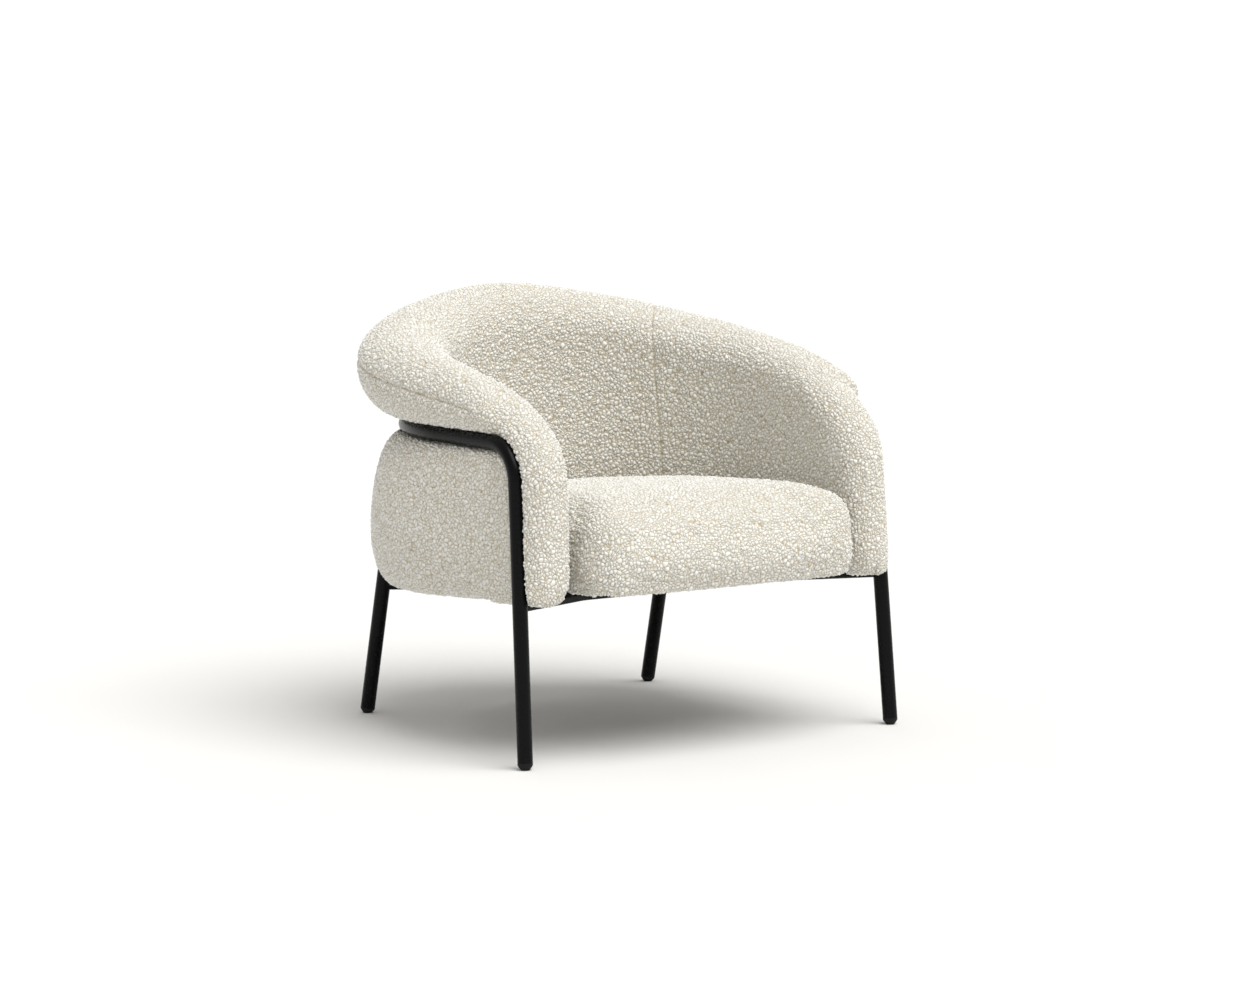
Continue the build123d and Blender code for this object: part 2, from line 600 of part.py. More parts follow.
def roll_slots(split):
    """Room in the roll's foam for the uprights and the top rail."""
    inner, outer = RIM_A[0] - FOAM_GAP, RIM_A[1] + FOAM_GAP
    stems = u_band(inner, outer, split - 1, TOP_RAIL_Z, RIM_START)
    rail = u_band(inner, outer, TOP_RAIL_Z - FOAM_GAP, TOP_RAIL_Z + TOP_RAIL_H + FOAM_GAP, RIM_START)
    reach = wedge(TOP_RAIL_TURN - 0.5, 180.5 - TOP_RAIL_TURN, 200, 800)
    return joined(slices(stems, UPRIGHT_TURNS, POST_HALF_TURN + 0.1)), rail & reach


def tub_nodes(tubes):
    """Everything of the tub: wood, webbing, fixings, foams and covers."""
    nodes, bosses = tub_frame_nodes()
    outer, core = tub_body(0.0), tub_body(COVER)
    boss_space = joined([bar(plane, BOSS_R + 0.4, RIM_A[1] - 1, 0) for plane in fixing_planes()])
    skin = outer - core - tubes - boss_space
    facing = facing_space()
    panel = (skin & lower_outside()).solids().sort_by(SortBy.VOLUME)[-1]
    nodes["outer_lower_cover"] = panel
    nodes["outer_roll_cover"] = (skin & facing) - panel
    rest = skin - panel - facing
    back = wedge(BACK_SEAM, 180 - BACK_SEAM, 100, 900)
    nodes["inner_back_cover"] = rest & back
    arms = rest - back
    for side, name in SIDES:
        half = Pos(side * 400, 0, 400) * Box(800, 2000, 1000)
        nodes["inner_arm_cover_" + name] = arms & half
    split = UPPER_RIM[1] + FOAM_GAP
    above = Pos(0, 0, split + 200) * Box(1200, 2000, 400)
    stems, rail = roll_slots(split)
    nodes["roll_foam"] = (core & above) - stems - rail - boss_space - tubes
    below = core - above - tubes
    inside = extrude(Pos(0, 0, 100) * u_plan(RIM_A[0] - 1, -200), amount=600)
    outside_line = extrude(Pos(0, 0, 100) * u_plan(RIM_A[1] + 1, -200), amount=600)
    nose = Pos(0, FEET_Y + RIM_START - 200.6, 400) * Box(1200, 400, 900)
    nodes["inner_foam"] = below & (inside + nose)
    nodes["outer_foam"] = below - outside_line - nose - boss_space
    nodes["hoop_bosses"] = bosses
    return nodes


def check_solids(nodes):
    """Print what each node holds."""
    for name, shape in nodes.items():
        litres = shape.volume / 1e6
        print(f"{name:24s} solids {len(shape.solids()):3d} litres {litres:8.4f} valid {shape.is_valid}")


def main():
    """Build every node and write it to its own file."""
    os.makedirs("parts", exist_ok=True)
    nodes, hoop_solid, rails = steel_nodes()
    tubes = hoop_clearance(0.5)
    nodes.update(seat_nodes(rails, tubes))
    nodes.update(tub_nodes(tubes))
    nodes["hoop_bosses"] = joined([nodes["hoop_bosses"] - hoop_solid])
    check_solids(nodes)
    for name, shape in nodes.items():
        export_step(shape, f"parts/{name}.step")


main()
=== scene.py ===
import json
import math

import bmesh
import bpy
import numpy as np
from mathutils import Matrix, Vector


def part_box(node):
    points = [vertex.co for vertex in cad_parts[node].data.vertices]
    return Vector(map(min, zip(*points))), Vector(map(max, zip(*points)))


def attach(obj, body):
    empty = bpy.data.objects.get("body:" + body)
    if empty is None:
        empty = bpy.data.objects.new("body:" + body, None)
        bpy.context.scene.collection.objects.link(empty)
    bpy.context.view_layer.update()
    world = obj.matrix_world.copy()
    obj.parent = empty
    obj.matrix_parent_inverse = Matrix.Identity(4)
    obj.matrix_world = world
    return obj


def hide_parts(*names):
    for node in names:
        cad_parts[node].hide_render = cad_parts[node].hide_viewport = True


# Upholstered tub armchair: boucle covers over a foam tub and a tight seat, on a black steel tube frame.
# Metres, +Z up, -Y towards the chair's front, +X towards the sitter's left hand.

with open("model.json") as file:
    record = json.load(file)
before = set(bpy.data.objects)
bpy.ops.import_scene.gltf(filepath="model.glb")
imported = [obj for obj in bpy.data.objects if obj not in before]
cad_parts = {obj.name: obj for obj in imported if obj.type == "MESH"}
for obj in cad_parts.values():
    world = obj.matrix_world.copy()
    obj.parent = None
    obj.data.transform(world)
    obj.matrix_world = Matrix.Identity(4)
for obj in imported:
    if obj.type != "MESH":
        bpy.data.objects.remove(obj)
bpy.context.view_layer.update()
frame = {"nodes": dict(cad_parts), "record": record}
nodes = frame["nodes"]

# ---------------------------------------------------------------- driving dimensions
FEET_Y = -0.3197              # line of the two front feet
TUBE_R = 0.0125               # hoop and leg tube
HOOP_X = 0.3614               # half width of the hoop, and radius of its round back
HOOP_Z = 0.5165               # height of the hoop's arms
HOOP_C = FEET_Y + 0.272       # centre of the round back
LEG_LEAN_X = 0.0232           # how far a front leg leans in, per unit of height
LEG_LEAN_Y = 0.0897           # how far it leans back
BEND_R = 0.065                # bend from leg to arm
GROOVE_BACK = -0.0165         # bottom of the hoop's groove, out from the hoop's line

# Widest line of the roll, where its facing is sewn on: distance behind the feet, height over the hoop.
SEAM_ALONG = (0.060, 0.106, 0.150, 0.205, 0.272, 0.386, 0.499, 0.613, 0.726, 0.840)
SEAM_RISE = (-0.004, 0.038, 0.052, 0.060, 0.070, 0.084, 0.104, 0.122, 0.128, 0.130)

BACK_SEAM_LOW = (0.391, 39.5)     # height and angle from the side of the seams between back and arms
BACK_SEAM_HIGH = (0.689, 44.8)

NOSE_MIDDLE = 0.0405          # the arm front's own middle, inside the hoop's line
NOSE_HALF = 0.0445            # half its width
NOSE_CENTRE = 0.0245          # centre of its round front, behind the front feet
NOSE_FADE = 0.050             # distance over which the drawing in ends towards the back
NOSE_OUTER_SHARE = 0.35       # the outer side is held by the leg, and draws in less
NOSE_FOOT = 0.255             # height where the arm front ends below
NOSE_FOOT_ROUND = (0.030, 0.060)      # how far it draws in there, and from how far up
SHOULDER = 0.008              # extra fullness of the roll where it turns down into an arm front
SHOULDER_ALONG = (0.02, 0.12, 0.18, 0.32)   # where it starts, is full, fades and ends, behind the feet
SHOULDER_OUT = (-0.03, 0.01)  # and where it starts and is full, out from the hoop's line
SHOULDER_RISE = (0.012, 0.045)   # and above the hoop

TUB_VOXEL = 0.0046
SEAT_VOXEL = 0.0050
TUB_SOFTENING = 9             # rounds of smoothing over the foam's joins
SEAT_SOFTENING = 6

SEAM_DEPTH = 0.0020
SEAM_WIDTH = 0.0045
SEAM_BARE = 0.0018            # half width of the strip along a seam where the loops lie flat
SEAM_FAR = 1.0                # stands for no seam near by

NUB_SIZE = 0.0060             # spacing of the boucle's knots
NUB_HEIGHT = 0.0046
NUB_SINK = 0.0030             # the ground cloth lies this far inside the CAD surface
NUB_GAP = 0.50                # how soon a knot is full height beside a gap, as a share of the spacing
NUB_DROOP = 0.45              # how much lower a knot is towards its rim
NUB_LOWEST = 0.6              # height of the lowest knot, as a share of the tallest
BEND_SHARE = 0.2              # how far the cloth's pattern is bent, as a share of the spacing
BEND_RATE = 290.0             # and how often, in radians per metre
BEND_WAYS = ((0.9, 0.5, 0.3), (-0.4, 0.8, 0.6), (0.3, -0.7, 0.8))

SEAT_START_INSET = 0.006      # the seat's foam is cut smaller, and swells under its cover
SEAT_CROWN = 0.023            # most that the top may rise from there
SEAT_SIDE_SWELL = 0.0065
SEAT_PRESSURE = 4.0
SEAT_FRAMES = 20
SEAT_SETTLING = 3             # rounds of smoothing after that
POCKET_ROOM = 0.012           # the seat's bare pocket reaches this far past its wooden frame
POCKET_RISE = 0.006           # and this far over the felt
BARE_ROOM = 0.006             # no knots within this distance of the frame
BARE_RISE = 0.004
STAPLED_RISE = 0.004          # the cover is stapled up to this height over the frame's top
STAPLED_FACING = -0.75        # where it faces down at least this much

SHEET_GRID = 0.03             # longest edge in the dust cover's mesh
SHEET_SAG = 0.0035

CAMERA_PLACE = (-3.8179, -5.5265, 1.1682)
CAMERA_TILT, CAMERA_TURN = 83.328, -34.911
CAMERA_LENS, CAMERA_SENSOR = 114.58, 36.0     # millimetres
KEY_POWER, KEY_SPREAD = 2.75, 50.0            # a soft sun, high over the chair's front
KEY_TILT, KEY_ROLL = 25.0, 7.0
SKY_FADE = (0.05, 0.24)       # heights over which the bright horizon fades, as the sine of the angle
SKY_STRENGTH = (1.08, 0.57)   # at the horizon and overhead
FLOOR_REACH = 60.0

# What the tub's soft body is merged from: its foams and covers, and the wood and bosses inside them.
TUB_CAD = ["roll_foam", "inner_foam", "outer_foam", "outer_lower_cover", "outer_roll_cover",
           "inner_back_cover", "inner_arm_cover_left", "inner_arm_cover_right"]
TUB_FILL = ["tub_rim_lower", "tub_rim_upper", "tub_front_posts", "tub_posts", "back_uprights",
            "back_top_rail", "hoop_bosses"]


# ---------------------------------------------------------------- mesh helpers
def new_piece(name, mesh):
    """A new object in the scene."""
    piece = bpy.data.objects.new(name, mesh)
    bpy.context.scene.collection.objects.link(piece)
    return piece


def merged_copy(name, cad_names):
    """One new piece from copies of several CAD nodes."""
    bm = bmesh.new()
    for cad_name in cad_names:
        bm.from_mesh(nodes[cad_name].data)
    mesh = bpy.data.meshes.new(name)
    bm.to_mesh(mesh)
    bm.free()
    return new_piece(name, mesh)


def evaluated_mesh(piece):
    """A copy of a piece's mesh with its modifiers applied."""
    graph = bpy.context.evaluated_depsgraph_get()
    return bpy.data.meshes.new_from_object(piece.evaluated_get(graph), depsgraph=graph)


def with_modifier(piece, kind, **settings):
    """Applies one modifier to a piece."""
    modifier = piece.modifiers.new(kind.lower(), kind)
    for key, value in settings.items():
        setattr(modifier, key, value)
    mesh = evaluated_mesh(piece)
    piece.modifiers.clear()
    piece.data = mesh
    return piece


def outer_skin(piece):
    """Deletes the closed pockets inside a remeshed piece, where wood or air is."""
    bm = bmesh.new()
    bm.from_mesh(piece.data)
    left = set(bm.verts)
    biggest = []
    while left:
        stack = [left.pop()]
        island = list(stack)
        while stack:
            for edge in stack.pop().link_edges:
                for vert in edge.verts:
                    if vert in left:
                        left.remove(vert)
                        stack.append(vert)
                        island.append(vert)
        if len(island) > len(biggest):
            biggest = island
    kept = set(biggest)
    bmesh.ops.delete(bm, geom=[v for v in bm.verts if v not in kept], context="VERTS")
    bm.to_mesh(piece.data)
    bm.free()
    return piece


def points_of(mesh):
    """A mesh's vertices, one row each."""
    flat = np.empty(len(mesh.vertices) * 3, np.float32)
    mesh.vertices.foreach_get("co", flat)
    return flat.reshape(-1, 3).astype(np.float64)


def set_points(mesh, points):
    """Moves a mesh's vertices."""
    mesh.vertices.foreach_set("co", points.astype(np.float32).ravel())
    mesh.update()


def normals_of(mesh):
    """A mesh's vertex normals, one row each."""
    flat = np.empty(len(mesh.vertices) * 3, np.float32)
    mesh.vertex_normals.foreach_get("vector", flat)
    return flat.reshape(-1, 3).astype(np.float64)


def edges_of(mesh):
    """The two vertices of each edge."""
    flat = np.empty(len(mesh.edges) * 2, np.int32)
    mesh.edges.foreach_get("vertices", flat)
    return flat.reshape(-1, 2)


def quads_of(mesh):
    """The four vertices of each face."""
    flat = np.empty(len(mesh.loops), np.int32)
    mesh.loops.foreach_get("vertex_index", flat)
    return flat.reshape(-1, 4)


def relaxed(points, edges, rounds, share=0.5):
    """Laplacian smoothing: each point moves part of the way to the mean of its neighbours."""
    count = len(points)
    degree = np.bincount(edges.ravel(), minlength=count)[:, None]
    for _ in range(rounds):
        total = np.stack([
            np.bincount(edges[:, 0], points[edges[:, 1], axis], count)
            + np.bincount(edges[:, 1], points[edges[:, 0], axis], count) for axis in range(3)], axis=1)
        points = points + share * (total / degree - points)
    return points


def smoothstep(low, high, value):
    """0 below low, 1 above high, and a smooth rise between them."""
    t = np.clip((value - low) / (high - low), 0, 1)
    return t * t * (3 - 2 * t)


# ---------------------------------------------------------------- boucle loops
def loop_place(points):
    """Position in the cloth, bent a little so that the knots don't lie evenly."""
    waves = np.stack([np.sin(points @ np.array(way) * BEND_RATE + way[0]) for way in BEND_WAYS], axis=1)
    return points + waves * NUB_SIZE * BEND_SHARE


def knot_distances(places):
    """Distances to the nearest two knots, and the nearest one's tone, just as the material has them."""
    mesh = bpy.data.meshes.new("probe")
    mesh.from_pydata(places, [], [])
    probe = new_piece("probe", mesh)
    tree = bpy.data.node_groups.new("knots", "GeometryNodeTree")
    for way in ("INPUT", "OUTPUT"):
        tree.interface.new_socket("Geometry", in_out=way, socket_type="NodeSocketGeometry")
    flow = tree.nodes.new("NodeGroupInput").outputs[0]
    place = tree.nodes.new("GeometryNodeInputPosition")
    wanted = (("nearest", "F1", "Distance"), ("second", "F2", "Distance"), ("tone", "F1", "Color"))
    for label, feature, result in wanted:
        cells = tree.nodes.new("ShaderNodeTexVoronoi")
        cells.feature = feature
        cells.inputs["Scale"].default_value = 1 / NUB_SIZE
        tree.links.new(place.outputs[0], cells.inputs["Vector"])
        store = tree.nodes.new("GeometryNodeStoreNamedAttribute")
        store.inputs["Name"].default_value = label
        tree.links.new(flow, store.inputs["Geometry"])
        tree.links.new(cells.outputs[result], store.inputs["Value"])
        flow = store.outputs["Geometry"]
    tree.links.new(flow, tree.nodes.new("NodeGroupOutput").inputs[0])
    probe.modifiers.new("knots", "NODES").node_group = tree
    found = evaluated_mesh(probe)
    values = []
    for label, _, _ in wanted:
        flat = np.empty(len(places), np.float32)
        found.attributes[label].data.foreach_get("value", flat)
        values.append(flat.astype(np.float64))
    bpy.data.objects.remove(probe)
    return values


def knot_height(places):
    """Height of the boucle, from 0 in the gaps between knots to 1 on the tallest."""
    nearest, second, tone = knot_distances(places)
    round_top = np.sqrt(np.clip((second - nearest) / NUB_GAP, 0, 1)) * (1 - NUB_DROOP * nearest ** 2)
    return round_top * (NUB_LOWEST + (1 - NUB_LOWEST) * tone)


# ---------------------------------------------------------------- places on the tub
def hoop_place(points):
    """Distance out of the hoop's line in plan, distance along the tub, and angle round the back."""
    x, y = np.abs(points[:, 0]), points[:, 1] - HOOP_C
    out = np.where(y < 0, x, np.hypot(x, y)) - HOOP_X
    turn = np.degrees(np.arctan2(np.maximum(y, 0), x))
    along = np.where(y < 0, points[:, 1] - FEET_Y, HOOP_C - FEET_Y + HOOP_X * np.radians(turn))
    return out, along, turn


def under_hoop(points, along):
    """Distance from the hoop's line seen from the side: positive under the arm and behind the leg."""
    behind = (along - LEG_LEAN_Y * points[:, 2]) / math.hypot(1, LEG_LEAN_Y)
    below = HOOP_Z - points[:, 2]
    corner = BEND_R - np.hypot(BEND_R - behind, BEND_R - below)
    return np.where((behind < BEND_R) & (below < BEND_R), corner, np.minimum(behind, below))


def facing_rise(points, along):
    """Height over the seam of the roll's outer facing."""
    return points[:, 2] - HOOP_Z - np.interp(along, SEAM_ALONG, SEAM_RISE)


def back_seam(points, turn):
    """Distance in plan past the seam between an arm and the back, positive on the back."""
    low, high = BACK_SEAM_LOW, BACK_SEAM_HIGH
    angle = np.interp(points[:, 2], (low[0], high[0]), (low[1], high[1]))
    reach = np.hypot(points[:, 0], points[:, 1] - HOOP_C)
    return np.radians(turn - angle) * reach


def seam_distance(points):
    """Distance to the nearest sewn seam of the tub."""
    out, along, turn = hoop_place(points)
    side = under_hoop(points, along)
    rise = facing_rise(points, along)
    on_facing = (out > 0) & (side < 0.004) & (along > SEAM_ALONG[0])
    facing = np.where(on_facing, np.abs(rise), SEAM_FAR)
    facing = facing + 0.02 * (1 - smoothstep(SEAM_ALONG[0], SEAM_ALONG[2], along))
    inner = (rise > 0) | (out < GROOVE_BACK)
    between = np.where(inner, np.abs(back_seam(points, turn)), SEAM_FAR)
    return np.minimum(facing, between)


def drawn_in(points):
    """Rounds the lower end of the arm fronts, where the cover is gathered under the arm."""
    sign = np.where(points[:, 0] < 0, -1.0, 1.0)
    middle_x = HOOP_X + LEG_LEAN_X * (HOOP_Z - points[:, 2]) - NOSE_MIDDLE
    middle_y = FEET_Y + NOSE_CENTRE
    across = np.abs(points[:, 0]) - middle_x
    ahead = np.minimum(points[:, 1] - middle_y, 0)
    most, rise = NOSE_FOOT_ROUND
    share = 1 - np.clip((points[:, 2] - NOSE_FOOT) / rise, 0, 1)
    reach = np.hypot(across, ahead)
    pull = most * (1 - np.sqrt(1 - np.minimum(share, 0.98) ** 2)) * (np.abs(across) < 1.4 * NOSE_HALF)
    pull = pull * (1 - smoothstep(middle_y, middle_y + NOSE_FADE, points[:, 1]))
    pull = pull * np.minimum(reach / NOSE_HALF, 1)
    pull = pull * np.where(across > 0, NOSE_OUTER_SHARE, 1.0)
    moved = points.copy()
    moved[:, 0] -= sign * across / np.maximum(reach, 1e-6) * pull
    moved[:, 1] -= ahead / np.maximum(reach, 1e-6) * pull
    return moved


def fuller_shoulder(points, normals):
    """Fills the roll's outer side where it turns down towards the front leg."""
    out, along, _ = hoop_place(points)
    start, full, fade, end = SHOULDER_ALONG
    amount = smoothstep(start, full, along) * (1 - smoothstep(fade, end, along))
    amount = amount * smoothstep(*SHOULDER_OUT, out) * smoothstep(*SHOULDER_RISE, points[:, 2] - HOOP_Z)
    return points + normals * (SHOULDER * amount)[:, None]


def hoop_line():
    """Points along one side of the hoop's centre line, foot to the middle of the back, at positive x."""
    slope = math.hypot(1, LEG_LEAN_Y)
    top = HOOP_Z - BEND_R
    points = [(HOOP_X + LEG_LEAN_X * (HOOP_Z - z), FEET_Y + LEG_LEAN_Y * z, z)
              for z in np.linspace(0.2, top, 8)]
    foot_y = FEET_Y + LEG_LEAN_Y * HOOP_Z
    for turn in np.radians(np.linspace(10, 85, 8)):
        back = BEND_R * (1 - math.cos(turn)) / slope
        points.append((HOOP_X, foot_y - LEG_LEAN_Y * BEND_R * (1 - math.sin(turn)) + back,
                       top + BEND_R * math.sin(turn)))
    points += [(HOOP_X, y, HOOP_Z) for y in np.linspace(foot_y + BEND_R, HOOP_C, 6)]
    points += [(HOOP_X * math.cos(a), HOOP_C + HOOP_X * math.sin(a), HOOP_Z)
               for a in np.radians(np.arange(4, 95, 4))]
    return np.array(points)


def clear_of_hoop(points, margin=0.0003):
    """Presses the fabric off the hoop wherever it would reach into the tube."""
    line = hoop_line()
    folded = points.copy()
    folded[:, 0] = np.abs(folded[:, 0])
    out, _, _ = hoop_place(folded)
    near = np.where((np.abs(out) < 2.2 * TUBE_R) & (folded[:, 2] < HOOP_Z + 2 * TUBE_R))[0]
    spot = folded[near]
    best = np.full(len(near), 9.0)
    foot = np.zeros_like(spot)
    for start, end in zip(line[:-1], line[1:]):
        run = end - start
        share = np.clip((spot - start) @ run / (run @ run), 0, 1)
        on_line = start + share[:, None] * run
        reach = np.linalg.norm(spot - on_line, axis=1)
        closer = reach < best
        best = np.where(closer, reach, best)
        foot[closer] = on_line[closer]
    inside = best < TUBE_R + margin
    away = (spot[inside] - foot[inside]) / np.maximum(best[inside], 1e-5)[:, None]
    folded[near[inside]] = foot[inside] + away * (TUBE_R + margin)
    folded[:, 0] *= np.where(points[:, 0] < 0, -1, 1)
    return folded


# ---------------------------------------------------------------- soft pieces
def panel(name, points, quads, places, standing):
    """A piece made of some of a body's quads. It keeps its place in the cloth for the material."""
    used, local = np.unique(quads, return_inverse=True)
    mesh = bpy.data.meshes.new(name)
    mesh.from_pydata(points[used], [], local.reshape(-1, 4))
    place = mesh.attributes.new("loop_place", "FLOAT_VECTOR", "POINT")
    place.data.foreach_set("vector", places[used].astype(np.float32).ravel())
    stand = mesh.attributes.new("loop_standing", "FLOAT", "POINT")
    stand.data.foreach_set("value", standing[used].astype(np.float32))
    mesh.shade_smooth()
    return new_piece(name, mesh)


def tub_panels():
    """The tub's five sewn covers, grown from the CAD foam and covers as one soft body."""
    body = merged_copy("tub_body", TUB_CAD + TUB_FILL)
    with_modifier(body, "REMESH", mode="VOXEL", voxel_size=TUB_VOXEL)
    outer_skin(body)
    soft = relaxed(points_of(body.data), edges_of(body.data), TUB_SOFTENING)
    set_points(body.data, soft)
    set_points(body.data, drawn_in(fuller_shoulder(soft, normals_of(body.data))))
    with_modifier(body, "SUBSURF", levels=1)
    mesh = body.data
    points, normals, quads = points_of(mesh), normals_of(mesh), quads_of(mesh)
    seam = seam_distance(points)
    places = loop_place(points)
    standing = 1 - np.exp(-(seam / SEAM_BARE) ** 2)
    crease = SEAM_DEPTH * np.exp(-(seam / SEAM_WIDTH) ** 2)
    lift = NUB_HEIGHT * knot_height(places) * standing - crease - NUB_SINK
    moved = clear_of_hoop(points + normals * lift[:, None])

    centre = points[quads].mean(axis=1)
    out, along, turn = hoop_place(centre)
    side = under_hoop(centre, along)
    below_seam = (along > SEAM_ALONG[0]) & (facing_rise(centre, along) < 0)
    facing_part = (out > GROOVE_BACK) & (side < 0) & below_seam
    lower_part = (out > GROOVE_BACK) & (side >= 0)
    back_part = ~facing_part & ~lower_part & (back_seam(centre, turn) > 0)
    arm_part = ~facing_part & ~lower_part & ~back_part
    left = centre[:, 0] > 0
    parts = {
        "outer_lower_panel": lower_part,
        "outer_roll_facing": facing_part,
        "inner_back_panel": back_part,
        "inner_arm_panel_left": arm_part & left,
        "inner_arm_panel_right": arm_part & ~left,
    }
    made = {name: panel(name, moved, quads[part], places, standing) for name, part in parts.items()}
    bpy.data.objects.remove(body)
    return made


def swollen_seat(seat, pinned):
    """Fills the seat with air under its cover and lets the cloth settle, held at its underside."""
    group = seat.vertex_groups.new(name="stapled")
    group.add([int(i) for i in np.where(pinned)[0]], 1.0, "REPLACE")
    cloth = seat.modifiers.new("filling", "CLOTH")
    cloth.settings.use_pressure = True
    cloth.settings.uniform_pressure_force = SEAT_PRESSURE
    cloth.settings.effector_weights.gravity = 0
    cloth.settings.vertex_group_mass = group.name
    cloth.point_cache.frame_end = SEAT_FRAMES
    for number in range(1, SEAT_FRAMES + 1):
        bpy.context.scene.frame_set(number)
    settled = points_of(evaluated_mesh(seat))
    seat.modifiers.clear()
    bpy.context.scene.frame_set(1)
    return settled


def seat_panel():
    """The seat cushion's cover, swollen over its foam, with a bare pocket for the wooden frame."""
    seat = merged_copy("seat_body", ["seat_foam", "seat_cover"])
    with_modifier(seat, "REMESH", mode="VOXEL", voxel_size=SEAT_VOXEL)
    outer_skin(seat)
    mesh = seat.data
    start = relaxed(points_of(mesh), edges_of(mesh), SEAT_SOFTENING)
    set_points(mesh, start)
    normals = normals_of(mesh)
    frame_low, frame_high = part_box("spring_pad")
    under = start[:, 2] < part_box("seat_frame_front")[1].z + STAPLED_RISE
    pocket = (np.abs(start[:, 0]) < frame_high.x + POCKET_ROOM) & (start[:, 2] < frame_high.z + POCKET_RISE)
    pocket &= (start[:, 1] > frame_low.y - POCKET_ROOM) & (start[:, 1] < frame_high.y + POCKET_ROOM)
    held = pocket | (under & (normals[:, 2] < STAPLED_FACING))
    shrunk = start - normals * SEAT_START_INSET * ~held[:, None]
    set_points(mesh, shrunk)
    upward = np.clip(normals[:, 2], 0, 1)
    swell = swollen_seat(seat, held) - shrunk
    reach = np.linalg.norm(swell, axis=1)
    most = SEAT_SIDE_SWELL + (SEAT_CROWN - SEAT_SIDE_SWELL) * upward ** 2
    swell *= (most * np.tanh(reach / most) / np.maximum(reach, 1e-6))[:, None]
    print("seat swell, most metres:", round(float(reach.max()), 4))
    shrunk = shrunk + swell
    set_points(mesh, relaxed(shrunk, edges_of(mesh), SEAT_SETTLING))
    with_modifier(seat, "SUBSURF", levels=1)
    mesh = seat.data
    points, normals, quads = points_of(mesh), normals_of(mesh), quads_of(mesh)
    places = loop_place(points)
    in_pocket = (np.abs(points[:, 0]) < frame_high.x + BARE_ROOM) & (points[:, 2] < frame_high.z + BARE_RISE)
    in_pocket &= (points[:, 1] > frame_low.y - BARE_ROOM) & (points[:, 1] < frame_high.y + BARE_ROOM)
    lift = (NUB_HEIGHT * knot_height(places) - NUB_SINK) * ~in_pocket
    piece = panel("seat_cushion", points + normals * lift[:, None], quads, places, np.ones(len(points)))
    bpy.data.objects.remove(seat)
    return piece


# ---------------------------------------------------------------- materials
class Paint:
    """A node material under construction."""

    def __init__(self, name):
        self.material = bpy.data.materials.new(name)
        self.material.use_nodes = True
        self.tree = self.material.node_tree
        self.shader = self.tree.nodes["Principled BSDF"]

    def node(self, kind, **settings):
        node = self.tree.nodes.new(kind)
        for key, value in settings.items():
            if key in node.inputs:
                node.inputs[key].default_value = value
            else:
                setattr(node, key, value)
        return node

    def link(self, output, target):
        self.tree.links.new(output, target)

    def set(self, **values):
        for key, value in values.items():
            self.shader.inputs[key.replace("_", " ").title().replace("Ior", "IOR")].default_value = value

    def object_place(self, stretch=(1, 1, 1)):
        place = self.node("ShaderNodeTexCoord")
        mapping = self.node("ShaderNodeMapping", Scale=stretch)
        self.link(place.outputs["Object"], mapping.inputs["Vector"])
        return mapping.outputs["Vector"]

    def noise(self, place, scale, detail=2.0, roughness=0.5):
        node = self.node("ShaderNodeTexNoise", Scale=scale, Detail=detail, Roughness=roughness)
        self.link(place, node.inputs["Vector"])
        return node.outputs["Fac"]

    def ramp(self, value, stops):
        node = self.node("ShaderNodeValToRGB")
        elements = node.color_ramp.elements
        while len(elements) < len(stops):
            elements.new(0.5)
        for element, (position, colour) in zip(elements, stops):
            element.position = position
            element.color = (*colour, 1)
        self.link(value, node.inputs["Fac"])
        return node.outputs["Color"]

    def scaled(self, value, factor, offset):
        node = self.node("ShaderNodeMath", operation="MULTIPLY_ADD")
        self.link(value, node.inputs[0])
        node.inputs[1].default_value = factor
        node.inputs[2].default_value = offset
        return node.outputs["Value"]

    def math(self, operation, *values):
        """A math node fed by outputs or plain numbers."""
        node = self.node("ShaderNodeMath", operation=operation)
        for index, value in enumerate(values):
            if isinstance(value, (int, float)):
                node.inputs[index].default_value = value
            else:
                self.link(value, node.inputs[index])
        return node.outputs["Value"]

    def times(self, first, second):
        node = self.node("ShaderNodeMix", data_type="RGBA", blend_type="MULTIPLY")
        node.inputs["Factor"].default_value = 1.0
        self.link(first, node.inputs[6])
        self.link(second, node.inputs[7])
        return node.outputs[2]

    def bump(self, height, strength, distance):
        node = self.node("ShaderNodeBump", Strength=strength, Distance=distance)
        self.link(height, node.inputs["Height"])
        self.link(node.outputs["Normal"], self.shader.inputs["Normal"])


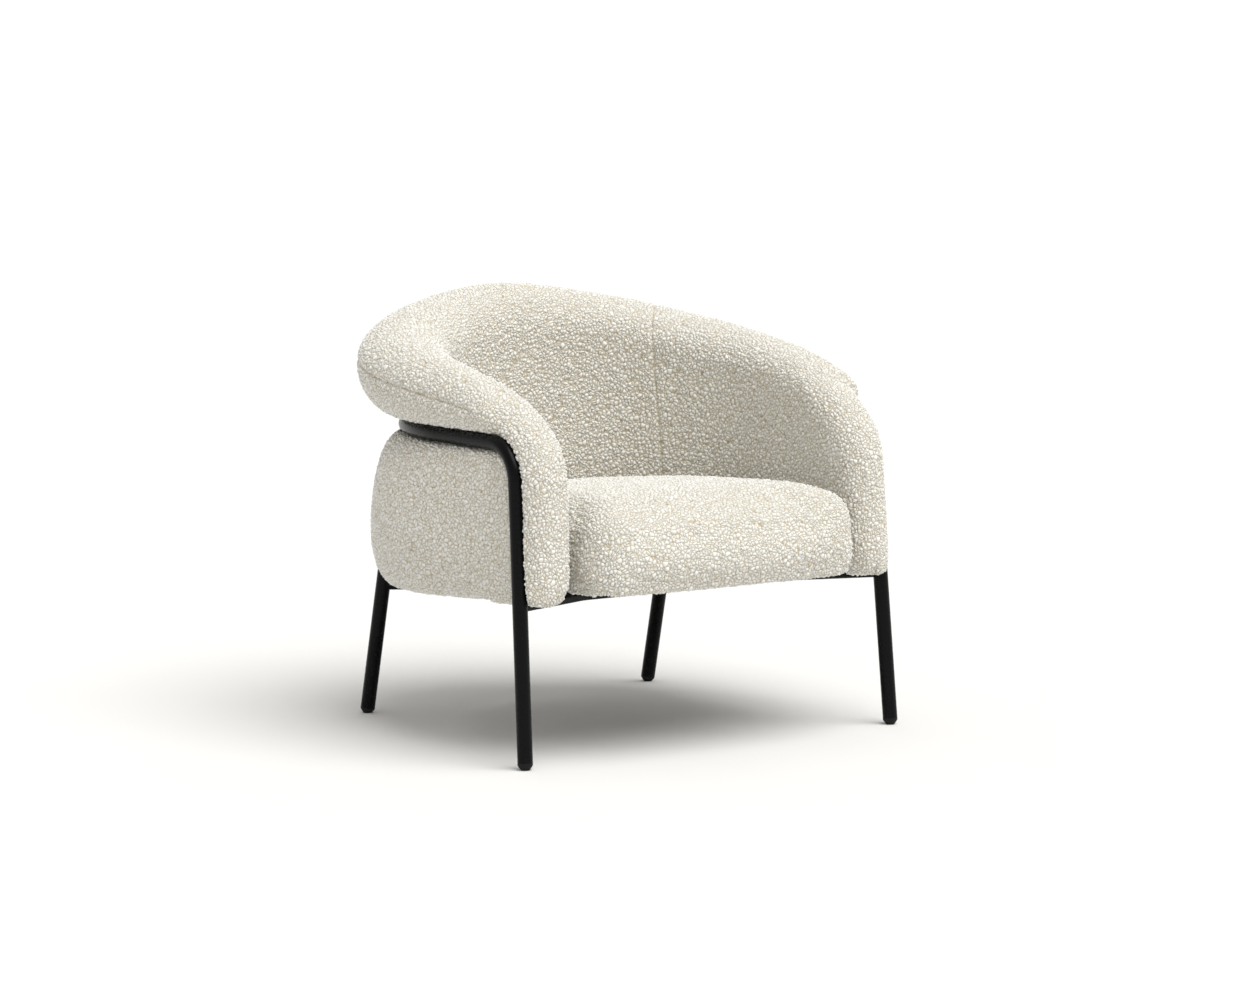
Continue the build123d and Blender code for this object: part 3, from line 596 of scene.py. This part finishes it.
def boucle_material():
    """Looped wool: pale knots with warm painted shade in the gaps between them and along the seams, and fine
    yarn on top.
    """
    paint = Paint("boucle")
    place = paint.node("ShaderNodeAttribute", attribute_name="loop_place").outputs["Vector"]
    standing = paint.node("ShaderNodeAttribute", attribute_name="loop_standing").outputs["Fac"]
    cells = {}
    for feature in ("F1", "F2"):
        cells[feature] = paint.node("ShaderNodeTexVoronoi", feature=feature, Scale=1 / NUB_SIZE)
        paint.link(place, cells[feature].inputs["Vector"])
    gap = paint.math("SUBTRACT", cells["F2"].outputs["Distance"], cells["F1"].outputs["Distance"])
    # Painted shade: the ramp colours the gaps between knots dark and warm, and the flat strips along the
    # seams the same, where real shade would fall.
    gap_for_painted_shade = paint.math("MULTIPLY", gap, paint.math("MULTIPLY_ADD", standing, 0.7, 0.3))
    loops = paint.ramp(gap_for_painted_shade, [(0.0, (0.43, 0.36, 0.255)), (0.09, (0.745, 0.71, 0.625)),
                               (0.26, (0.885, 0.88, 0.85))])
    knots_tone = paint.ramp(cells["F1"].outputs["Color"],
                            [(0.1, (0.94, 0.93, 0.905)), (0.9, (1.0, 1.0, 1.0))])
    drift = paint.ramp(paint.noise(place, 9.0), [(0.3, (0.975, 0.97, 0.96)), (0.7, (1.0, 1.0, 1.0))])
    colour = paint.times(paint.times(loops, knots_tone), drift)
    paint.link(colour, paint.shader.inputs["Base Color"])
    paint.set(roughness=0.92, sheen_weight=0.15, sheen_roughness=0.45, specular_ior_level=0.2)
    knot = paint.math("MULTIPLY", paint.math("MINIMUM", gap, NUB_GAP), standing)
    yarn = paint.noise(place, 900.0, detail=3.0, roughness=0.6)
    height = paint.math("MULTIPLY_ADD", yarn, 0.22, knot)
    paint.bump(height, 0.75, 0.0055)
    return paint.material


def speckled(name, dark, light, rough, grain, bump, metallic=0.0, specular=0.5):
    """A finish whose colour and roughness wander with a fine grain."""
    paint = Paint(name)
    place = paint.object_place()
    fine = paint.noise(place, grain, detail=3.0, roughness=0.6)
    broad = paint.noise(place, grain / 14)
    paint.link(paint.ramp(fine, [(0.3, dark), (0.7, light)]), paint.shader.inputs["Base Color"])
    paint.link(paint.scaled(broad, rough[1] - rough[0], rough[0]), paint.shader.inputs["Roughness"])
    paint.set(metallic=metallic, specular_ior_level=specular)
    paint.bump(fine, *bump)
    return paint.material


def wood_material():
    """Sawn birch plywood: long grain with darker glue lines between its layers."""
    paint = Paint("frame_wood")
    grain = paint.noise(paint.object_place((1, 1, 14)), 38.0, detail=6.0)
    layers = paint.node("ShaderNodeTexWave", bands_direction="Z", Scale=110.0, Distortion=0.6)
    paint.link(paint.object_place(), layers.inputs["Vector"])
    wood = paint.ramp(grain, [(0.3, (0.50, 0.35, 0.20)), (0.7, (0.72, 0.56, 0.38))])
    glue = paint.ramp(layers.outputs["Fac"], [(0.05, (0.62, 0.52, 0.42)), (0.3, (1.0, 1.0, 1.0))])
    paint.link(paint.times(wood, glue), paint.shader.inputs["Base Color"])
    paint.link(paint.scaled(grain, 0.2, 0.55), paint.shader.inputs["Roughness"])
    paint.bump(grain, 0.3, 0.0004)
    return paint.material


def woven_material(name, dark, light, pitch, bump):
    """A plain weave: two crossed sets of yarn in the object's own space."""
    paint = Paint(name)
    place = paint.object_place()
    warp = paint.node("ShaderNodeTexWave", bands_direction="X", Scale=pitch, Distortion=0.4)
    weft = paint.node("ShaderNodeTexWave", bands_direction="Z", Scale=pitch, Distortion=0.4)
    cross = paint.node("ShaderNodeMath", operation="MAXIMUM")
    for index, wave in enumerate((warp, weft)):
        paint.link(place, wave.inputs["Vector"])
        paint.link(wave.outputs["Fac"], cross.inputs[index])
    weave = cross.outputs["Value"]
    paint.link(paint.ramp(weave, [(0.2, dark), (0.9, light)]), paint.shader.inputs["Base Color"])
    paint.link(paint.scaled(paint.noise(place, 60.0), 0.15, 0.75), paint.shader.inputs["Roughness"])
    paint.bump(weave, *bump)
    return paint.material


def slot_materials():
    """One material for each of the record's material slots."""
    return {
        "black_steel": speckled("black_steel", (0.002, 0.002, 0.0022), (0.004, 0.004, 0.0044), (0.22, 0.32),
                                1400.0, (0.06, 0.0003), specular=0.10),
        "glide_plastic": speckled("glide_plastic", (0.008, 0.008, 0.009), (0.014, 0.014, 0.015),
                                  (0.45, 0.6), 900.0, (0.12, 0.0003), specular=0.12),
        "zinc_steel": speckled("zinc_steel", (0.48, 0.49, 0.51), (0.62, 0.63, 0.65), (0.25, 0.45), 400.0,
                               (0.05, 0.0002), metallic=1.0),
        "spring_steel": speckled("spring_steel", (0.10, 0.09, 0.085), (0.20, 0.19, 0.18), (0.3, 0.5),
                                 500.0, (0.06, 0.0002), metallic=1.0),
        "frame_wood": wood_material(),
        "felt": speckled("felt", (0.22, 0.215, 0.20), (0.42, 0.41, 0.39), (0.88, 0.98), 700.0,
                         (0.5, 0.0010)),
        "foam": speckled("foam", (0.74, 0.69, 0.52), (0.88, 0.85, 0.72), (0.85, 0.95), 800.0,
                         (0.5, 0.0010)),
        "webbing": woven_material("webbing", (0.02, 0.02, 0.02), (0.10, 0.10, 0.10), 180.0, (0.5, 0.0008)),
        "dust_cloth": speckled("dust_cloth", (0.012, 0.012, 0.012), (0.035, 0.035, 0.036), (0.85, 0.95),
                               650.0, (0.5, 0.0006)),
        "boucle": boucle_material(),
    }


def dress(piece, material):
    """Gives a piece one material."""
    piece.data.materials.clear()
    piece.data.materials.append(material)


# ---------------------------------------------------------------- dust cover
def dust_sheet():
    """Nonwoven cloth stapled under the seat frame, sagging slightly between its edges."""
    sheet = merged_copy("dust_sheet", ["dust_cover"])
    bm = bmesh.new()
    bm.from_mesh(sheet.data)
    bmesh.ops.remove_doubles(bm, verts=bm.verts, dist=1e-5)
    bmesh.ops.triangulate(bm, faces=bm.faces)
    for _ in range(5):
        long_edges = [e for e in bm.edges if e.calc_length() > SHEET_GRID]
        bmesh.ops.subdivide_edges(bm, edges=long_edges, cuts=1)
        bmesh.ops.triangulate(bm, faces=[f for f in bm.faces if len(f.verts) > 3])
    low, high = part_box("dust_cover")
    middle, half = (low + high) / 2, (high - low) / 2
    for vert in bm.verts:
        u = max(0.0, 1 - ((vert.co.x - middle.x) / half.x) ** 2)
        v = max(0.0, 1 - ((vert.co.y - middle.y) / half.y) ** 2)
        vert.co.z -= SHEET_SAG * u * v
    bm.to_mesh(sheet.data)
    bm.free()
    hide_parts("dust_cover")
    return sheet


# ---------------------------------------------------------------- studio
def studio_sky():
    """White light from all round: a bright band at the horizon and a dimmer, even dome above."""
    world = bpy.data.worlds.new("studio")
    world.use_nodes = True
    tree = world.node_tree
    place = tree.nodes.new("ShaderNodeTexCoord")
    split = tree.nodes.new("ShaderNodeSeparateXYZ")
    fade = tree.nodes.new("ShaderNodeMapRange")
    fade.interpolation_type = "SMOOTHSTEP"
    for label, value in zip(("From Min", "From Max", "To Min", "To Max"), SKY_FADE + SKY_STRENGTH):
        fade.inputs[label].default_value = value
    background = tree.nodes["Background"]
    background.inputs["Color"].default_value = (1.0, 0.99, 0.97, 1.0)
    tree.links.new(place.outputs["Generated"], split.inputs["Vector"])
    tree.links.new(split.outputs["Z"], fade.inputs["Value"])
    tree.links.new(fade.outputs["Result"], background.inputs["Strength"])
    return world


def studio_floor():
    """A plain floor of pale paper."""
    reach = FLOOR_REACH
    mesh = bpy.data.meshes.new("floor")
    mesh.from_pydata([(-reach, -reach, 0), (reach, -reach, 0), (reach, reach, 0), (-reach, reach, 0)],
                     [], [(0, 1, 2, 3)])
    floor = new_piece("floor", mesh)
    paint = Paint("floor_paper")
    paper = paint.ramp(paint.noise(paint.object_place(), 2.0),
                       [(0.3, (0.77, 0.765, 0.755)), (0.7, (0.78, 0.775, 0.765))])
    paint.link(paper, paint.shader.inputs["Base Color"])
    paint.set(roughness=0.9, specular_ior_level=0.1)
    dress(floor, paint.material)


def studio():
    """Floor, sky, key light and camera."""
    scene = bpy.context.scene
    scene.view_settings.view_transform = "Standard"
    studio_floor()
    scene.world = studio_sky()

    key = bpy.data.lights.new("key", "SUN")
    key.energy = KEY_POWER
    key.angle = math.radians(KEY_SPREAD)
    key.color = (1.0, 1.0, 0.99)
    lamp = bpy.data.objects.new("key", key)
    lamp.rotation_euler = (math.radians(KEY_TILT), math.radians(KEY_ROLL), 0.0)
    scene.collection.objects.link(lamp)

    lens = bpy.data.cameras.new("camera")
    lens.lens = CAMERA_LENS
    lens.sensor_width = CAMERA_SENSOR
    lens.clip_end = 200.0
    camera = bpy.data.objects.new("camera", lens)
    camera.location = CAMERA_PLACE
    camera.rotation_euler = (math.radians(CAMERA_TILT), 0.0, math.radians(CAMERA_TURN))
    scene.collection.objects.link(camera)
    scene.camera = camera


# ---------------------------------------------------------------- assembly
def main():
    """Light and dress the scene, then add the soft pieces."""
    studio()
    materials = slot_materials()
    slots = {row["node"]: row["material_slot"] for row in frame["record"]["subparts"]}
    for name, node in nodes.items():
        dress(node, materials[slots[name]])

    tub = tub_panels()
    stands_for = {
        "outer_lower_panel": ["outer_lower_cover", "outer_foam"],
        "outer_roll_facing": ["outer_roll_cover", "roll_foam"],
        "inner_back_panel": ["inner_back_cover", "inner_foam"],
        "inner_arm_panel_left": ["inner_arm_cover_left"],
        "inner_arm_panel_right": ["inner_arm_cover_right"],
    }
    for name, piece in tub.items():
        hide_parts(*stands_for[name])
    seat = seat_panel()
    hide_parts("seat_cover", "seat_foam")
    for piece in [*tub.values(), seat]:
        dress(piece, materials["boucle"])
        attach(piece, "root")
        print(piece.name, len(piece.data.polygons))

    sheet = dust_sheet()
    dress(sheet, materials["dust_cloth"])
    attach(sheet, "root")


main()
